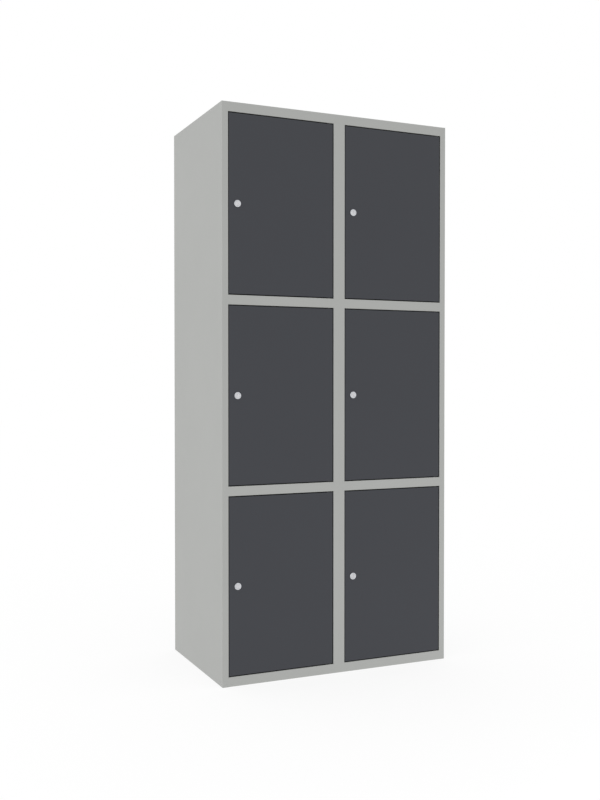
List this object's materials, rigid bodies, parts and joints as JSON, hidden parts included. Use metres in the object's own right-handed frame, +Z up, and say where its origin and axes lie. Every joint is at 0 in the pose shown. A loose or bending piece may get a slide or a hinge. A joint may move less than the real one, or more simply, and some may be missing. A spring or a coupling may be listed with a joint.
{
  "type": "metal locker",
  "caption": "Free-standing steel locker: a grey folded sheet cabinet with two columns of stacked compartments, each closed by a dark flush door with a cam lock.",
  "frame": {"origin": "on the floor, under the centre of the cabinet's footprint", "axes": "+Z up, the doors face -Y, +X to the right when the doors are seen from the front"},
  "size_m": [0.8, 0.493, 1.8],
  "materials": {
    "cabinet_paint": "light grey powder coat, fine orange peel",
    "door_paint": "anthracite powder coat, fine orange peel",
    "lock_chrome": "satin chrome",
    "lock_core": "turned nickel",
    "lock_zinc": "bright zinc",
    "pin_steel": "bright zinc",
    "bush_plastic": "black acetal",
    "buffer_rubber": "black rubber"
  },
  "bodies": {
    "cabinet": {"left_side_panel": "cabinet_paint", "right_side_panel": "cabinet_paint", "centre_post": "cabinet_paint", "centre_partition": "cabinet_paint", "top_panel": "cabinet_paint", "base_panel": "cabinet_paint", "base_channel": "cabinet_paint", "back_panel": "cabinet_paint", "middle_left_shelf": "cabinet_paint", "middle_right_shelf": "cabinet_paint", "top_left_shelf": "cabinet_paint", "top_right_shelf": "cabinet_paint", "upper_hinge_pins": "pin_steel", "lower_hinge_pins": "pin_steel", "door_buffers": "buffer_rubber"},
    "bottom_left_door": {"bottom_left_door_panel": "door_paint", "bottom_left_door_rib": "door_paint", "bottom_left_hinge_bushes": "bush_plastic", "bottom_left_lock_housing": "lock_chrome", "bottom_left_lock_nut": "lock_zinc"},
    "bottom_left_lock": {"bottom_left_lock_plug": "lock_core", "bottom_left_lock_cam": "lock_zinc"},
    "bottom_right_door": {"bottom_right_door_panel": "door_paint", "bottom_right_door_rib": "door_paint", "bottom_right_hinge_bushes": "bush_plastic", "bottom_right_lock_housing": "lock_chrome", "bottom_right_lock_nut": "lock_zinc"},
    "bottom_right_lock": {"bottom_right_lock_plug": "lock_core", "bottom_right_lock_cam": "lock_zinc"},
    "middle_left_door": {"middle_left_door_panel": "door_paint", "middle_left_door_rib": "door_paint", "middle_left_hinge_bushes": "bush_plastic", "middle_left_lock_housing": "lock_chrome", "middle_left_lock_nut": "lock_zinc"},
    "middle_left_lock": {"middle_left_lock_plug": "lock_core", "middle_left_lock_cam": "lock_zinc"},
    "middle_right_door": {"middle_right_door_panel": "door_paint", "middle_right_door_rib": "door_paint", "middle_right_hinge_bushes": "bush_plastic", "middle_right_lock_housing": "lock_chrome", "middle_right_lock_nut": "lock_zinc"},
    "middle_right_lock": {"middle_right_lock_plug": "lock_core", "middle_right_lock_cam": "lock_zinc"},
    "top_left_door": {"top_left_door_panel": "door_paint", "top_left_door_rib": "door_paint", "top_left_hinge_bushes": "bush_plastic", "top_left_lock_housing": "lock_chrome", "top_left_lock_nut": "lock_zinc"},
    "top_left_lock": {"top_left_lock_plug": "lock_core", "top_left_lock_cam": "lock_zinc"},
    "top_right_door": {"top_right_door_panel": "door_paint", "top_right_door_rib": "door_paint", "top_right_hinge_bushes": "bush_plastic", "top_right_lock_housing": "lock_chrome", "top_right_lock_nut": "lock_zinc"},
    "top_right_lock": {"top_right_lock_plug": "lock_core", "top_right_lock_cam": "lock_zinc"}
  },
  "joints": [
    {"name": "bottom_left_door_hinge", "type": "hinge", "parent": "cabinet", "child": "bottom_left_door", "pos_m": [-0.035, -0.23686, 0.31], "axis": [0, 0, 1], "range_deg": [0, 110]},
    {"name": "bottom_left_lock_turn", "type": "hinge", "parent": "bottom_left_door", "child": "bottom_left_lock", "pos_m": [-0.35, -0.2239, 0.31], "axis": [0, 1, 0], "range_deg": [0, 90]},
    {"name": "bottom_right_door_hinge", "type": "hinge", "parent": "cabinet", "child": "bottom_right_door", "pos_m": [0.365, -0.23686, 0.31], "axis": [0, 0, 1], "range_deg": [0, 110]},
    {"name": "bottom_right_lock_turn", "type": "hinge", "parent": "bottom_right_door", "child": "bottom_right_lock", "pos_m": [0.05, -0.2239, 0.31], "axis": [0, 1, 0], "range_deg": [0, 90]},
    {"name": "middle_left_door_hinge", "type": "hinge", "parent": "cabinet", "child": "middle_left_door", "pos_m": [-0.035, -0.23686, 0.9], "axis": [0, 0, 1], "range_deg": [0, 110]},
    {"name": "middle_left_lock_turn", "type": "hinge", "parent": "middle_left_door", "child": "middle_left_lock", "pos_m": [-0.35, -0.2239, 0.9], "axis": [0, 1, 0], "range_deg": [0, 90]},
    {"name": "middle_right_door_hinge", "type": "hinge", "parent": "cabinet", "child": "middle_right_door", "pos_m": [0.365, -0.23686, 0.9], "axis": [0, 0, 1], "range_deg": [0, 110]},
    {"name": "middle_right_lock_turn", "type": "hinge", "parent": "middle_right_door", "child": "middle_right_lock", "pos_m": [0.05, -0.2239, 0.9], "axis": [0, 1, 0], "range_deg": [0, 90]},
    {"name": "top_left_door_hinge", "type": "hinge", "parent": "cabinet", "child": "top_left_door", "pos_m": [-0.035, -0.23686, 1.49], "axis": [0, 0, 1], "range_deg": [0, 110]},
    {"name": "top_left_lock_turn", "type": "hinge", "parent": "top_left_door", "child": "top_left_lock", "pos_m": [-0.35, -0.2239, 1.49], "axis": [0, 1, 0], "range_deg": [0, 90]},
    {"name": "top_right_door_hinge", "type": "hinge", "parent": "cabinet", "child": "top_right_door", "pos_m": [0.365, -0.23686, 1.49], "axis": [0, 0, 1], "range_deg": [0, 110]},
    {"name": "top_right_lock_turn", "type": "hinge", "parent": "top_right_door", "child": "top_right_lock", "pos_m": [0.05, -0.2239, 1.49], "axis": [0, 1, 0], "range_deg": [0, 90]}
  ]
}
